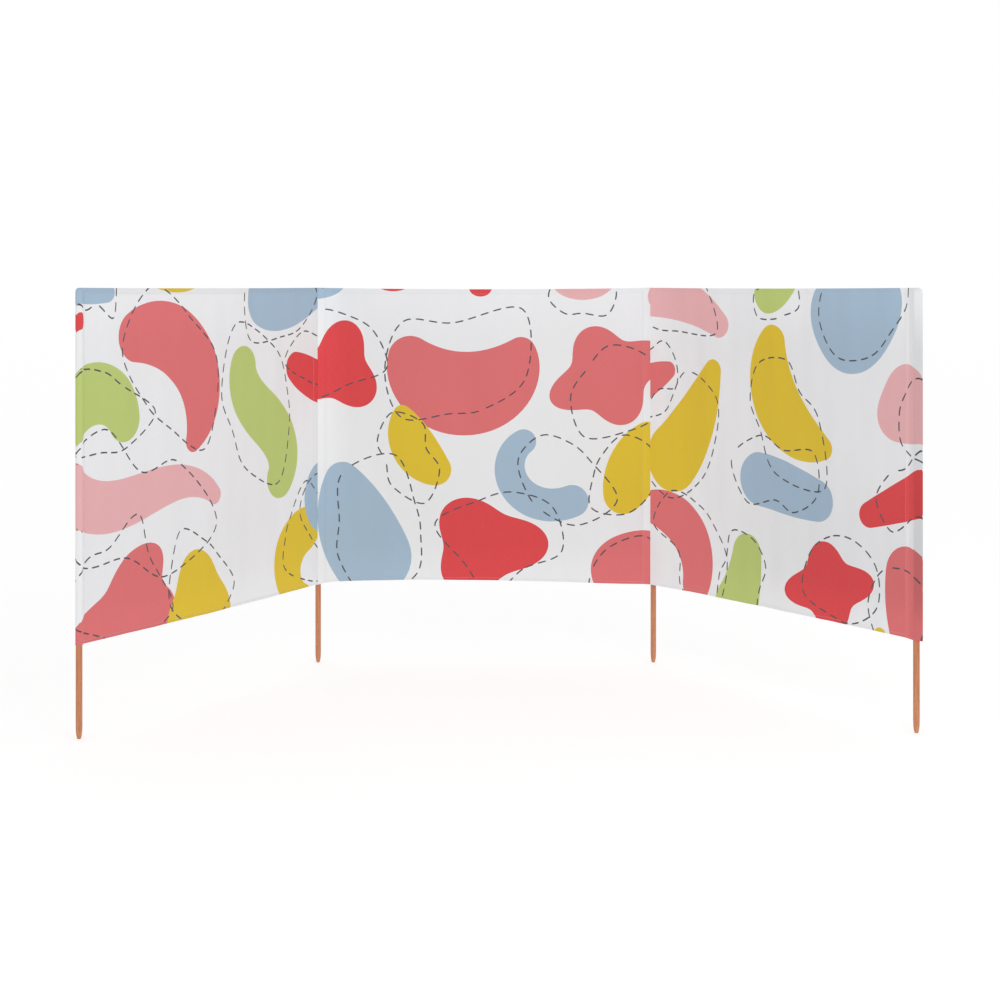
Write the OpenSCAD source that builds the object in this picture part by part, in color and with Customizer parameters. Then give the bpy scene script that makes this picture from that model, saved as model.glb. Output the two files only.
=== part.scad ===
// Beach windbreak: three bays of cloth on four pointed wooden poles.
// The blunt point of the left inner pole stands on the origin. The middle bay
// runs along +X from there, and the two wings swing forward, towards -Y.
// Millimetres, Z up.

/* [Layout] */
// Distance between the axes of two neighbouring poles
bay_pitch = 1340; // [900:10:1800]
// How far the left wing is swung forward out of line, in degrees
left_swing = 60; // [0:1:110]
// How far the right wing is swung forward out of line, in degrees
right_swing = 54; // [0:1:110]

/* [Poles] */
// Diameter of the round wooden poles
pole_d = 22; // [16:1:32]
// Length of a pole from its blunt point to its top
pole_len = 1485; // [1300:5:2200]
// Length of the rounded point that is pushed into the ground
point_len = 45; // [25:5:90]
// Diameter of the flat left on the end of the point
point_flat_d = 9; // [5:1:12]
// Rounding of the pole's top edge
pole_top_r = 2; // [1:0.5:4]

/* [Cloth] */
// Height of the cloth from its bottom edge to its top edge
cloth_h = 1185; // [700:5:1230]
// Thickness of a cloth panel
cloth_t = 2; // [1:0.5:4]
// Thickness of the folded and stitched hems
hem_t = 3; // [2:0.5:6]
// Height of the hem along the top edge
top_hem_h = 21; // [12:1:40]
// Height of the hem along the bottom edge
bottom_hem_h = 12; // [8:1:30]

/* [Sleeves] */
// Wall of the cloth sleeve around a pole
sleeve_t = 1.5; // [1:0.5:3]
// Distance from a pole's axis to the stitch line of its sleeve
pocket_w = 46; // [30:1:80]
// Clearance between a pole and the sleeve around it
pole_gap = 0.3; // [0.2:0.1:1]
// Clearance between a round sleeve and the wing that swings around it
swing_gap = 0.4; // [0.3:0.1:0.8]
// Thickness of the closed end on top of a sleeve
sleeve_top_t = 12; // [4:1:25]

/* [Hidden] */
$fn = 64;

pole_r = pole_d / 2;
// Radii of the sleeve's bore, of its outside, and of the wing's hollow edge
bore_r = pole_r + pole_gap;
sleeve_r = bore_r + sleeve_t;
swing_r = sleeve_r + swing_gap;

// Heights, from the ground end of the poles up
top_z = pole_len + pole_gap + sleeve_top_t;
sleeve_end_z = top_z - sleeve_top_t;
bottom_z = top_z - cloth_h;
hem_fold_z = bottom_z + bottom_hem_h;
top_fold_z = top_z - top_hem_h;

// Steps in the curve of a pole's point and in its rounded top edge
point_steps = 6;
edge_steps = 4;

// The point swells from its flat end to the full radius along an ellipse
function point_curve() = [for (i = [0 : point_steps])
    let (a = 90 * i / point_steps)
    [point_flat_d / 2 + (pole_r - point_flat_d / 2) * sin(a), point_len * (1 - cos(a))]];

function top_curve() = [for (i = [0 : edge_steps])
    let (a = 90 * i / edge_steps)
    [pole_r - pole_top_r * (1 - cos(a)), pole_len - pole_top_r * (1 - sin(a))]];

// A bay's own frame: its first pole stands at the origin, its cloth runs along +X
module in_left_wing() { rotate([0, 0, 180 + left_swing]) children(); }
module in_right_wing() { translate([bay_pitch, 0, 0]) rotate([0, 0, -right_swing]) children(); }

// Seen from the far pole of a bay, looking back along the cloth
module at_far_pole() { translate([bay_pitch, 0, 0]) rotate([0, 0, 180]) children(); }

module pole() {
    color("peru")
    rotate_extrude() polygon(concat([[0, 0]], point_curve(), top_curve(), [[0, pole_len]]));
}

// A tube round the pole, with the flat of its pocket running to the stitch line
module sleeve() {
    color("whitesmoke")
    translate([0, 0, bottom_z])
    linear_extrude(height = sleeve_end_z - bottom_z)
    difference() {
        union() {
            circle(r = sleeve_r);
            translate([0, -hem_t / 2]) square([pocket_w, hem_t]);
        }
        circle(r = bore_r);
    }
}

// The sewn end that keeps the sleeve from sliding down its pole
module sleeve_top() {
    color("gainsboro")
    translate([0, 0, sleeve_end_z])
    linear_extrude(height = sleeve_top_t)
    union() {
        circle(r = sleeve_r);
        translate([0, -hem_t / 2]) square([pocket_w, hem_t]);
    }
}

// Flat cloth standing on edge, from one distance along the bay to another
module cloth_strip(from, to, low, high, thickness) {
    translate([from, -thickness / 2, low]) cube([to - from, thickness, high - low]);
}

// Between the two pockets of the middle bay
module middle_strip(low, high, thickness) {
    cloth_strip(pocket_w, bay_pitch - pocket_w, low, high, thickness);
}

// A wing's first edge is hollow, so that it swings around the sleeve beside it
module wing_strip(low, high, thickness) {
    difference() {
        cloth_strip(0, bay_pitch - pocket_w, low, high, thickness);
        translate([0, 0, low - 1]) cylinder(r = swing_r, h = high - low + 2);
    }
}

module wing_panel() { color("lightcoral") wing_strip(hem_fold_z, top_fold_z, cloth_t); }
module wing_top_hem() { color("lightsteelblue") wing_strip(top_fold_z, top_z, hem_t); }
module wing_bottom_hem() { color("darkkhaki") wing_strip(bottom_z, hem_fold_z, hem_t); }
module middle_panel() { color("lightcoral") middle_strip(hem_fold_z, top_fold_z, cloth_t); }
module middle_top_hem() { color("lightsteelblue") middle_strip(top_fold_z, top_z, hem_t); }
module middle_bottom_hem() { color("darkkhaki") middle_strip(bottom_z, hem_fold_z, hem_t); }

in_left_wing() at_far_pole() pole();  // left_outer_pole
pole();  // left_inner_pole
at_far_pole() pole();  // right_inner_pole
in_right_wing() at_far_pole() pole();  // right_outer_pole

in_left_wing() at_far_pole() sleeve();  // left_outer_sleeve
sleeve();  // left_inner_sleeve
at_far_pole() sleeve();  // right_inner_sleeve
in_right_wing() at_far_pole() sleeve();  // right_outer_sleeve

in_left_wing() at_far_pole() sleeve_top();  // left_outer_sleeve_top
sleeve_top();  // left_inner_sleeve_top
at_far_pole() sleeve_top();  // right_inner_sleeve_top
in_right_wing() at_far_pole() sleeve_top();  // right_outer_sleeve_top

in_left_wing() wing_panel();  // left_panel
middle_panel();
in_right_wing() wing_panel();  // right_panel

in_left_wing() wing_top_hem();  // left_top_hem
middle_top_hem();
in_right_wing() wing_top_hem();  // right_top_hem

in_left_wing() wing_bottom_hem();  // left_bottom_hem
middle_bottom_hem();
in_right_wing() wing_bottom_hem();  // right_bottom_hem
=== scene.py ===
import math
import random

import bpy
import numpy as np
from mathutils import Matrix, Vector
from mathutils.geometry import delaunay_2d_cdt


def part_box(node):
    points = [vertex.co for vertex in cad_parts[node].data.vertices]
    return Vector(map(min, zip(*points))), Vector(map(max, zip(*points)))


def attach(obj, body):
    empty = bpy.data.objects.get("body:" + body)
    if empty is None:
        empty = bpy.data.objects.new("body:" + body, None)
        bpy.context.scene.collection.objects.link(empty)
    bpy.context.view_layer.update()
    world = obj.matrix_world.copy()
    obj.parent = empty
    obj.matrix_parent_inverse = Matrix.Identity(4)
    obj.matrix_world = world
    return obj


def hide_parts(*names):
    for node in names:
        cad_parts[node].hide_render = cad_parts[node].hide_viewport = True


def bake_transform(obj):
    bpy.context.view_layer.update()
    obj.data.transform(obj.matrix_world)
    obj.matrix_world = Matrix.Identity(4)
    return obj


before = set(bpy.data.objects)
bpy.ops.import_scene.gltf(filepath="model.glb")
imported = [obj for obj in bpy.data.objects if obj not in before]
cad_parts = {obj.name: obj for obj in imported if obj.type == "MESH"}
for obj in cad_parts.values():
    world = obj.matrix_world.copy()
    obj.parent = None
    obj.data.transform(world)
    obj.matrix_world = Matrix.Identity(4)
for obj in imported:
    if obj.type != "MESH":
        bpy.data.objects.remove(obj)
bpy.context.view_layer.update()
print("frame loaded:", len(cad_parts), "nodes")

scene = bpy.context.scene
cm = 0.01


def poleAxis(node):
    low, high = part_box(node)
    return np.array(((low.x + high.x) / 2, (low.y + high.y) / 2))


def heightOf(node):
    low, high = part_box(node)
    return high.z - low.z


poleNames = ("left_outer", "left_inner", "right_inner", "right_outer")
axes = {name: poleAxis(name + "_pole") for name in poleNames}
poleRadius = (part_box("left_inner_pole")[1].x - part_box("left_inner_pole")[0].x) / 2
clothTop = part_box("middle_top_hem")[1].z
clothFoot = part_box("middle_bottom_hem")[0].z
clothHigh = clothTop - clothFoot
topHem = heightOf("middle_top_hem")
footHem = heightOf("middle_bottom_hem")


# near and far are poles, and hand is 1 where the front lies to the right of the run
def layBay(near, far, hand):
    run = axes[far] - axes[near]
    long = float(np.hypot(*run))
    along = run / long
    front = hand * np.array((along[1], -along[0]))
    return {"start": axes[near], "along": along, "front": front, "long": long, "hand": hand}


bays = {
    "left": layBay("left_inner", "left_outer", -1),
    "middle": layBay("left_inner", "right_inner", 1),
    "right": layBay("right_inner", "right_outer", 1),
}


def toWorld(bay, u, v):
    return bay["start"] + np.outer(u, bay["along"]) + np.outer(v, bay["front"])


def toBay(bay, point):
    away = np.asarray(point) - bay["start"]
    return float(away @ bay["along"]), float(away @ bay["front"])


# Shader helpers and the effects that several materials share

def feed(tree, socket, value):
    if isinstance(value, bpy.types.NodeSocket):
        tree.links.new(value, socket)
    else:
        socket.default_value = value


def addNode(tree, kind, settings=None, **inputs):
    made = tree.nodes.new(kind)
    for name, value in (settings or {}).items():
        setattr(made, name, value)
    for name, value in inputs.items():
        feed(tree, made.inputs[name], value)
    return made


def mathNode(tree, operation, first, second=0.0, third=0.0):
    made = tree.nodes.new("ShaderNodeMath")
    made.operation = operation
    for socket, value in zip(made.inputs, (first, second, third)):
        feed(tree, socket, value)
    return made.outputs[0]


def mixColour(tree, share, first, second, way="MIX"):
    made = tree.nodes.new("ShaderNodeMix")
    made.data_type = "RGBA"
    made.blend_type = way
    for i, value in ((0, share), (6, first), (7, second)):  # the factor and the two colours
        feed(tree, made.inputs[i], value)
    return made.outputs[2]


# Darkens or lightens a colour by a value
def shaded(tree, colour, value):
    grey = addNode(tree, "ShaderNodeCombineColor", Red=value, Green=value, Blue=value).outputs[0]
    return mixColour(tree, 1.0, colour, grey, "MULTIPLY")


def spread(tree, value, low, high):
    made = addNode(tree, "ShaderNodeMapRange", Value=value)
    made.inputs["To Min"].default_value = low
    made.inputs["To Max"].default_value = high
    return made.outputs["Result"]


def newGroup(name, takes, gives):
    group = bpy.data.node_groups.new(name, "ShaderNodeTree")
    for label, kind, value in takes:
        socket = group.interface.new_socket(name=label, in_out="INPUT", socket_type=kind)
        if value is not None:
            socket.default_value = value
    for label in gives:
        group.interface.new_socket(name=label, in_out="OUTPUT", socket_type="NodeSocketFloat")
    return group, group.nodes.new("NodeGroupInput"), group.nodes.new("NodeGroupOutput")


# Plain weave: threads of warp and weft pass over and under each other
def buildWeave():
    takes = (("Place", "NodeSocketVector", None), ("Thread", "NodeSocketFloat", 0.0008))
    group, come, go = newGroup("plainWeave", takes, ("Height", "Tone"))
    split = addNode(group, "ShaderNodeSeparateXYZ", Vector=come.outputs["Place"])
    turn = mathNode(group, "DIVIDE", math.pi, come.outputs["Thread"])
    waves = []
    for axis in ("X", "Y"):
        phase = mathNode(group, "MULTIPLY", split.outputs[axis], turn)
        waves.append(mathNode(group, "SINE", phase))
    over = mathNode(group, "MULTIPLY", waves[0], waves[1])
    height = mathNode(group, "MULTIPLY_ADD", over, 0.5, 0.5)
    slub = addNode(group, "ShaderNodeMapping", Vector=come.outputs["Place"])
    slub.inputs["Scale"].default_value = (60, 900, 1)
    uneven = addNode(group, "ShaderNodeTexNoise", Vector=slub.outputs[0], Scale=1.0, Detail=3.0)
    group.links.new(height, go.inputs["Height"])
    group.links.new(spread(group, uneven.outputs["Fac"], 0.0, 1.0), go.inputs["Tone"])
    return group


# Soft handling wrinkles and the faint clouding of thin cloth
def buildWrinkles():
    takes = (("Place", "NodeSocketVector", None), ("Size", "NodeSocketFloat", 0.05))
    group, come, go = newGroup("handlingWrinkles", takes, ("Height", "Cloud"))
    rate = mathNode(group, "DIVIDE", 1.0, come.outputs["Size"])
    stretch = addNode(group, "ShaderNodeMapping", Vector=come.outputs["Place"])
    stretch.inputs["Scale"].default_value = (1.0, 0.45, 1)
    folds = addNode(group, "ShaderNodeTexNoise", Vector=stretch.outputs[0], Scale=rate, Detail=4.0)
    folds.inputs["Distortion"].default_value = 0.4
    slow = mathNode(group, "MULTIPLY", rate, 0.22)
    cloud = addNode(group, "ShaderNodeTexNoise", Vector=stretch.outputs[0], Scale=slow, Detail=2.0)
    group.links.new(folds.outputs["Fac"], go.inputs["Height"])
    group.links.new(cloud.outputs["Fac"], go.inputs["Cloud"])
    return group


# Fibres that run up a turned pole, with darker pores between them
def buildGrain():
    takes = (("Place", "NodeSocketVector", None), ("Fineness", "NodeSocketFloat", 1.0))
    group, come, go = newGroup("poleGrain", takes, ("Streak", "Pore", "Band"))
    layers = {}
    fibres = (("Streak", (330, 330, 9), 5), ("Pore", (900, 900, 26), 2), ("Band", (70, 70, 1.6), 3))
    for label, scale, detail in fibres:
        place = addNode(group, "ShaderNodeMapping", Vector=come.outputs["Place"])
        place.inputs["Scale"].default_value = scale
        layers[label] = addNode(group, "ShaderNodeTexNoise", Vector=place.outputs[0], Detail=float(detail))
        group.links.new(come.outputs["Fineness"], layers[label].inputs["Scale"])
        group.links.new(layers[label].outputs["Fac"], go.inputs[label])
    return group


# Scuffing by sand: strongest at the foot of a pole, fading out above it
def buildScuff():
    takes = (("Place", "NodeSocketVector", None), ("Foot", "NodeSocketFloat", 0.0),
             ("Reach", "NodeSocketFloat", 0.3))
    group, come, go = newGroup("sandScuff", takes, ("Mask",))
    split = addNode(group, "ShaderNodeSeparateXYZ", Vector=come.outputs["Place"])
    above = mathNode(group, "SUBTRACT", split.outputs["Z"], come.outputs["Foot"])
    share = mathNode(group, "DIVIDE", above, come.outputs["Reach"])
    low = mathNode(group, "SUBTRACT", 1.0, share)
    patch = addNode(group, "ShaderNodeTexNoise", Vector=come.outputs["Place"], Scale=130.0, Detail=5.0)
    rough = spread(group, patch.outputs["Fac"], -0.7, 1.3)
    both = mathNode(group, "MULTIPLY", mathNode(group, "MAXIMUM", low, 0.0), rough)
    mask = mathNode(group, "MINIMUM", mathNode(group, "MAXIMUM", both, 0.0), 1.0)
    group.links.new(mask, go.inputs["Mask"])
    return group


weave = buildWeave()
wrinkles = buildWrinkles()
grain = buildGrain()
scuff = buildScuff()


def useGroup(tree, group, place, **inputs):
    made = tree.nodes.new("ShaderNodeGroup")
    made.node_tree = group
    tree.links.new(place, made.inputs["Place"])
    for name, value in inputs.items():
        made.inputs[name].default_value = value
    return made


def addBump(tree, shader, height, strength, distance):
    bump = addNode(tree, "ShaderNodeBump", Height=height, Strength=strength, Distance=distance)
    tree.links.new(bump.outputs[0], shader.inputs["Normal"])


def newMaterial(name, roughness):
    material = bpy.data.materials.new(name)
    material.use_nodes = True
    tree = material.node_tree
    shader = tree.nodes["Principled BSDF"]
    shader.inputs["Roughness"].default_value = roughness
    return material, tree, shader


# Linear colours of the dyes, by name
inks = {
    "white": (0.845, 0.857, 0.877),
    "coral": (0.727, 0.148, 0.154),
    "red": (0.728, 0.041, 0.048),
    "pink": (0.803, 0.428, 0.442),
    "green": (0.484, 0.591, 0.163),
    "yellow": (0.741, 0.524, 0.008),
    "blue": (0.361, 0.493, 0.626),
    "slate": (0.065, 0.066, 0.074),
}

cloth = {
    "thread": 0.0008,  # pitch of the weave
    "thickness": 0.0005,
    "behind": 0.42,  # share of the dye that shows on the back
    "paintedShading": 0.05,  # how much darker one step of painted shade makes the cloth
    "thin": 0.07,  # share of the dye missing on high threads
    "wrinkle": 0.05,
    "roughness": 0.82,
    "sheen": 0.04,
    "gloss": 0.25,
}


# Printed polyester. On the back the dye only shows through
def clothMaterial(name, ink, dye=1.0):
    material, tree, shader = newMaterial(name, cloth["roughness"])
    shader.inputs["Sheen Weight"].default_value = cloth["sheen"]
    shader.inputs["Specular IOR Level"].default_value = cloth["gloss"]
    place = addNode(tree, "ShaderNodeUVMap", {"uv_map": "cloth"}).outputs[0]
    threads = useGroup(tree, weave, place, Thread=cloth["thread"])
    folds = useGroup(tree, wrinkles, place, Size=cloth["wrinkle"])
    plain = inks["white"]
    full = tuple(w + (c - w) * dye for w, c in zip(plain, inks[ink])) + (1,)
    thin = tuple(c + (w - c) * cloth["thin"] for w, c in zip(plain, full[:3])) + (1,)
    colour = mixColour(tree, threads.outputs["Tone"], full, thin)
    # Painted shade and painted highlight, kept per point on the cloth, darken or lighten the dye colour
    paintedShadingValue = addNode(tree, "ShaderNodeAttribute", {"attribute_name": "paintedShading"}).outputs["Fac"]
    shade = mathNode(tree, "MULTIPLY_ADD", paintedShadingValue, -cloth["paintedShading"], 1.0)
    cloud = spread(tree, folds.outputs["Cloud"], 0.975, 1.025)
    shade = mathNode(tree, "MULTIPLY", shade, cloud)
    tree.links.new(shaded(tree, colour, shade), shader.inputs["Base Color"])
    wear = mathNode(tree, "MULTIPLY_ADD", threads.outputs["Height"], -0.06, cloth["roughness"] + 0.03)
    tree.links.new(wear, shader.inputs["Roughness"])
    height = mathNode(tree, "MULTIPLY_ADD", threads.outputs["Height"], 0.05, folds.outputs["Height"])
    addBump(tree, shader, height, 0.35, 0.002)
    return material


frontCloth = {ink: clothMaterial("print_" + ink, ink) for ink in inks}
backCloth = {ink: clothMaterial("reverse_" + ink, ink, cloth["behind"]) for ink in inks}
inkOrder = list(inks)

wood = {
    "light": (0.68, 0.262, 0.100, 1),
    "dark": (0.41, 0.140, 0.078, 1),
    "worn": (0.66, 0.40, 0.24, 1),
    "pore": (0.16, 0.05, 0.025, 1),
    "roughness": 0.46,
    "gloss": 0.4,
    "scuffReach": 0.30,
}


# Oiled dowel: streaked grain, darker pores, pale where sand has rubbed it
def woodMaterial():
    material, tree, shader = newMaterial("oiledDowel", wood["roughness"])
    shader.inputs["Specular IOR Level"].default_value = wood["gloss"]
    place = addNode(tree, "ShaderNodeTexCoord").outputs["Object"]
    fibres = useGroup(tree, grain, place, Fineness=1.0)
    worn = useGroup(tree, scuff, place, Foot=0.0, Reach=wood["scuffReach"])
    streak = spread(tree, fibres.outputs["Streak"], -0.45, 1.45)
    colour = mixColour(tree, streak, wood["light"], wood["dark"])
    colour = shaded(tree, colour, spread(tree, fibres.outputs["Band"], 0.84, 1.16))
    pores = addNode(tree, "ShaderNodeMapRange", Value=fibres.outputs["Pore"])
    pores.inputs["From Min"].default_value = 0.60
    pores.inputs["From Max"].default_value = 0.72
    pores.inputs["To Max"].default_value = 0.55
    colour = mixColour(tree, pores.outputs["Result"], colour, wood["pore"])
    rubbed = mathNode(tree, "MULTIPLY", worn.outputs["Mask"], 0.55)
    colour = mixColour(tree, rubbed, colour, wood["worn"])
    tree.links.new(colour, shader.inputs["Base Color"])
    rough = mathNode(tree, "MULTIPLY_ADD", worn.outputs["Mask"], 0.35, wood["roughness"])
    rough = mathNode(tree, "MULTIPLY_ADD", fibres.outputs["Streak"], 0.10, rough)
    tree.links.new(rough, shader.inputs["Roughness"])
    relief = mathNode(tree, "SUBTRACT", fibres.outputs["Streak"], pores.outputs["Result"])
    addBump(tree, shader, relief, 0.5, 0.0004)
    return material


# Two-ply sewing thread, a little greyer than the cloth
def threadMaterial():
    material, tree, shader = newMaterial("sewingThread", 0.6)
    place = addNode(tree, "ShaderNodeTexCoord").outputs["Object"]
    fuzz = addNode(tree, "ShaderNodeTexNoise", Vector=place, Scale=900.0, Detail=2.0)
    colour = mixColour(tree, fuzz.outputs["Fac"], (0.60, 0.60, 0.61, 1), (0.80, 0.80, 0.81, 1))
    tree.links.new(colour, shader.inputs["Base Color"])
    rough = spread(tree, fuzz.outputs["Fac"], 0.5, 0.8)
    tree.links.new(rough, shader.inputs["Roughness"])
    addBump(tree, shader, fuzz.outputs["Fac"], 0.3, 0.0002)
    return material


oiledDowel = woodMaterial()
sewingThread = threadMaterial()
for name in poleNames:
    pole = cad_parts[name + "_pole"]
    pole.data.materials.clear()
    pole.data.materials.append(oiledDowel)
print("materials made")


# Outlines of the print, in centimetres from a bay's lower left corner as its front is seen

def turned(points, centre, degrees):
    a = math.radians(degrees)
    c, s = math.cos(a), math.sin(a)
    return [(centre[0] + x * c - y * s, centre[1] + x * s + y * c) for x, y in points]


# A bent strip with round ends: three headings and three half widths, at its ends and middle.
# Its sides touch every circle along it, so they run smoothly into the round ends
def bean(centre, long, widths, headings, steps=40):
    spine, circles = [np.zeros(2)], []
    for i in range(steps + 1):
        t = i / steps
        shares = (1 - t) * (1 - 2 * t), 4 * t * (1 - t), t * (2 * t - 1)
        heading = math.radians(sum(share * value for share, value in zip(shares, headings)))
        half = sum(share * value for share, value in zip(shares, widths))
        growth = (widths[0] * (4 * t - 3) + widths[1] * (4 - 8 * t) + widths[2] * (4 * t - 1)) / long
        circles.append((heading, half, math.pi / 2 + math.asin(growth)))
        if i:
            spine.append(spine[-1] + np.array((math.cos(heading), math.sin(heading))) * long / steps)
    spine = np.array(spine) + np.array(centre) - spine[steps // 2]

    def onCircle(i, angle):
        heading, half = circles[i][:2]
        return tuple(spine[i] + half * np.array((math.cos(heading + angle), math.sin(heading + angle))))

    left = [onCircle(i, circles[i][2]) for i in range(steps + 1)]
    right = [onCircle(i, -circles[i][2]) for i in range(steps + 1)]
    endTurn, startTurn = circles[-1][2], 2 * math.pi - circles[0][2]
    end = [onCircle(steps, endTurn * (1 - k / 8)) for k in range(1, 16)]
    start = [onCircle(0, -circles[0][2] - (startTurn - circles[0][2]) * k / 16) for k in range(1, 16)]
    return left + end + right[::-1] + start


# A rounded form with some number of soft lobes
def pebble(centre, wide, high, lobes=2, depth=0.0, turn=0.0, steps=110):
    points = []
    for i in range(steps):
        a = 2 * math.pi * i / steps
        r = 1 + depth * math.cos(lobes * a)
        points.append((r * math.cos(a) * wide / 2, r * math.sin(a) * high / 2))
    return turned(points, centre, turn)


forms = {
    "left": [
        ("blue", bean((5, 117.5), 16, (4, 4.5, 4), (0, 0, 0))),
        ("yellow", pebble((49, 121.5), 27, 9)),
        ("red", pebble((-1.5, 107.5), 7, 6)),
        ("coral", bean((57, 93), 64, (9, 12.5, 4), (15, -48, -125))),
        ("green", bean((9, 83), 34, (9, 10.5, 8), (60, 0, -70))),
        ("green", bean((101, 68), 54, (7.5, 10.5, 8), (-105, -38, -125))),
        ("blue", pebble((114, 116.5), 52, 27, 3, 0.04, 10)),
        ("red", bean((131, 82), 26, (6, 8, 6), (-25, -25, -25))),
        ("pink", bean((32, 46.5), 80, (9, 8, 3.5), (-52, 12, -40))),
        ("coral", pebble((24, 9.5), 50, 29, 3, 0.26, 200)),
        ("yellow", pebble((61, 4.5), 34, 33, 3, 0.16, 96)),
        ("yellow", bean((114, 10), 36, (9, 8.5, 4), (-165, -95, -5))),
        ("blue", pebble((140, 35), 30, 31)),
    ],
    "middle": [
        ("blue", pebble((-2, 121), 26, 14)),
        ("red", pebble((8, 86), 32, 30, 3, 0.24, 78)),
        ("red", pebble((30, 121), 14, 7)),
        ("red", pebble((65, 119), 9, 7)),
        ("coral", bean((60, 76), 58, (9, 17, 6), (-70, 2, 72))),
        ("yellow", bean((38, 55), 27, (3.5, 9, 6.5), (-80, -62, -35))),
        ("blue", bean((14.5, 25), 34, (7, 14.5, 16), (-78, -70, -62))),
        ("blue", bean((80.5, 36.5), 46, (5, 6.5, 6.5), (-150, -50, 22))),
        ("red", pebble((67, 14.5), 42, 35, 3, 0.20, 2)),
        ("coral", pebble((116, 83.5), 42, 35, 4, 0.20, 24)),
        ("pink", pebble((106, 122.5), 26, 17)),
        ("pink", pebble((140, 115), 16, 14)),
        ("yellow", bean((127, 48), 26, (5, 10.5, 8), (-112, -112, -112))),
        ("coral", pebble((127, 5), 36, 33, 3, 0.05, 40)),
    ],
    "right": [
        ("pink", bean((17, 114), 46, (9, 8.5, 5), (4, -14, -34))),
        ("coral", bean((-1, 81.5), 24, (7, 6.5, 3.5), (28, 24, 20))),
        ("yellow", bean((25, 68), 42, (4.5, 10.5, 13.5), (-116, -120, -138))),
        ("coral", bean((21, 22.5), 42, (7, 9.5, 7), (-2, -48, -110))),
        ("green", pebble((68, 118.5), 24, 15, 3, 0.06, 30)),
        ("blue", pebble((106.5, 109), 43, 38, 3, 0.05, 30)),
        ("yellow", bean((70, 74), 52, (6.5, 11.5, 4), (-112, -55, -10))),
        ("pink", pebble((130, 78), 27, 26, 3, 0.09, 90)),
        ("blue", bean((74, 45), 30, (10, 9.5, 7.5), (-4, -12, -8))),
        ("red", bean((126, 45), 28, (4.5, 6.5, 8), (22, 22, 22))),
        ("green", bean((51, 8), 22, (11, 9, 7.5), (62, 74, 84))),
        ("red", pebble((94, 12), 36, 27, 4, 0.20, 12)),
        ("coral", bean((130, 10), 22, (8, 9.5, 10), (100, 92, 84))),
        ("yellow", pebble((118, -0.5), 5, 4)),
    ],
}

# The dashed loops printed round the forms, in centimetres
dash = {
    "long": 3.4,
    "gap": 1.9,
    "wide": 0.56,
    "seed": 11,
    "corners": 8,
    "drift": (4, 8),  # how far a loop's middle lies from its form's
    "reach": (0.72, 1.22),  # how far it wanders in and out, as a share of the form
    "least": 8,  # forms narrower than this get no loop
}


# A smooth run through chosen points
def smoothRun(points, steps=14):
    closed = points[0] == points[-1]
    if closed:
        before, after = points[-2], points[1]
    else:
        before, after = points[0], points[-1]
    chain = [before, *points, after]
    run = []
    for a, b, c, d in zip(chain, chain[1:], chain[2:], chain[3:]):
        for i in range(steps):
            t = i / steps
            run.append(tuple(
                0.5 * (2 * q + (r - p) * t + (2 * p - 5 * q + 4 * r - s) * t * t
                       + (3 * q - p - 3 * r + s) * t ** 3)
                for p, q, r, s in zip(a, b, c, d)))
    run.append(points[-1])
    return np.array(run)


# Cuts a run into dashes, each a narrow outline with softened ends
def dashesOn(run):
    reach = np.concatenate(([0], np.cumsum(np.hypot(*np.diff(run, axis=0).T))))
    made = []
    start = dash["gap"] / 2
    while start + dash["long"] < reach[-1]:
        places = start + dash["long"] * np.array((0.0, 0.08, 0.36, 0.64, 0.92, 1.0))
        x = np.interp(places, reach, run[:, 0])
        y = np.interp(places, reach, run[:, 1])
        across = np.gradient(np.stack((x, y), 1), axis=0)
        across /= np.hypot(*across.T)[:, None]
        half = dash["wide"] / 2 * np.array((0.45, 0.95, 1.0, 1.0, 0.95, 0.45))
        side = np.stack((-across[:, 1], across[:, 0]), 1) * half[:, None]
        middle = np.stack((x, y), 1)
        made.append(np.concatenate((middle + side, (middle - side)[::-1])))
        start += dash["long"] + dash["gap"]
    return made


# A loose loop round a form: it drifts off to one side and wanders in and out of the form's edge
def looseLoop(outline, dice):
    points = np.array(outline)
    middle = (points.min(0) + points.max(0)) / 2
    way, drift = dice.uniform(0, 2 * math.pi), dice.uniform(*dash["drift"])
    centre = middle + drift * np.array((math.cos(way), math.sin(way)))
    start = dice.uniform(0, 2 * math.pi)
    corners = []
    for i in range(dash["corners"]):
        a = start + 2 * math.pi * i / dash["corners"]
        heading = np.array((math.cos(a), math.sin(a)))
        far = float(np.max((points - middle) @ heading))
        corners.append(tuple(centre + heading * far * dice.uniform(*dash["reach"])))
    return smoothRun(corners + corners[:1])


# All outlines of one bay in metres, each with its ink, forms first and dashes over them
def printFor(name):
    dice = random.Random(dash["seed"] + len(name))
    outlines = [(ink, np.array(points) * cm) for ink, points in forms[name]]
    for ink, points in forms[name]:
        loop = looseLoop(points, dice)
        if np.ptp(points, axis=0).min() > dash["least"]:
            outlines += [("slate", outline * cm) for outline in dashesOn(loop)]
    if name == "left":  # its run goes from the inner pole outwards, to the left
        outlines = [(ink, np.stack((bays["left"]["long"] - p[:, 0], p[:, 1]), 1)) for ink, p in outlines]
    return outlines


# Plan lines. A line holds its full shape, the shape where it is sewn flat, and the length along it

ply = {
    "radius": poleRadius + 0.0011,
    "close": 0.014,  # height over which a pocket closes above its pole
    "gap": 0.0003,  # half the gap between plies that are sewn together
    "behind": 0.0011,  # how far a seam allowance lies behind its bay
}


def arcPoints(centre, radius, first, last, step=9.0):
    count = max(2, int(abs(last - first) / step) + 1)
    angles = np.radians(np.linspace(first, last, count))
    return np.stack((centre[0] + radius * np.cos(angles), centre[1] + radius * np.sin(angles)), 1)


def straight(first, last, step):
    count = max(1, int(math.dist(first, last) / step + 0.5))
    t = np.linspace(0, 1, count + 1)[:, None]
    return np.array(first) * (1 - t) + np.array(last) * t


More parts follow.
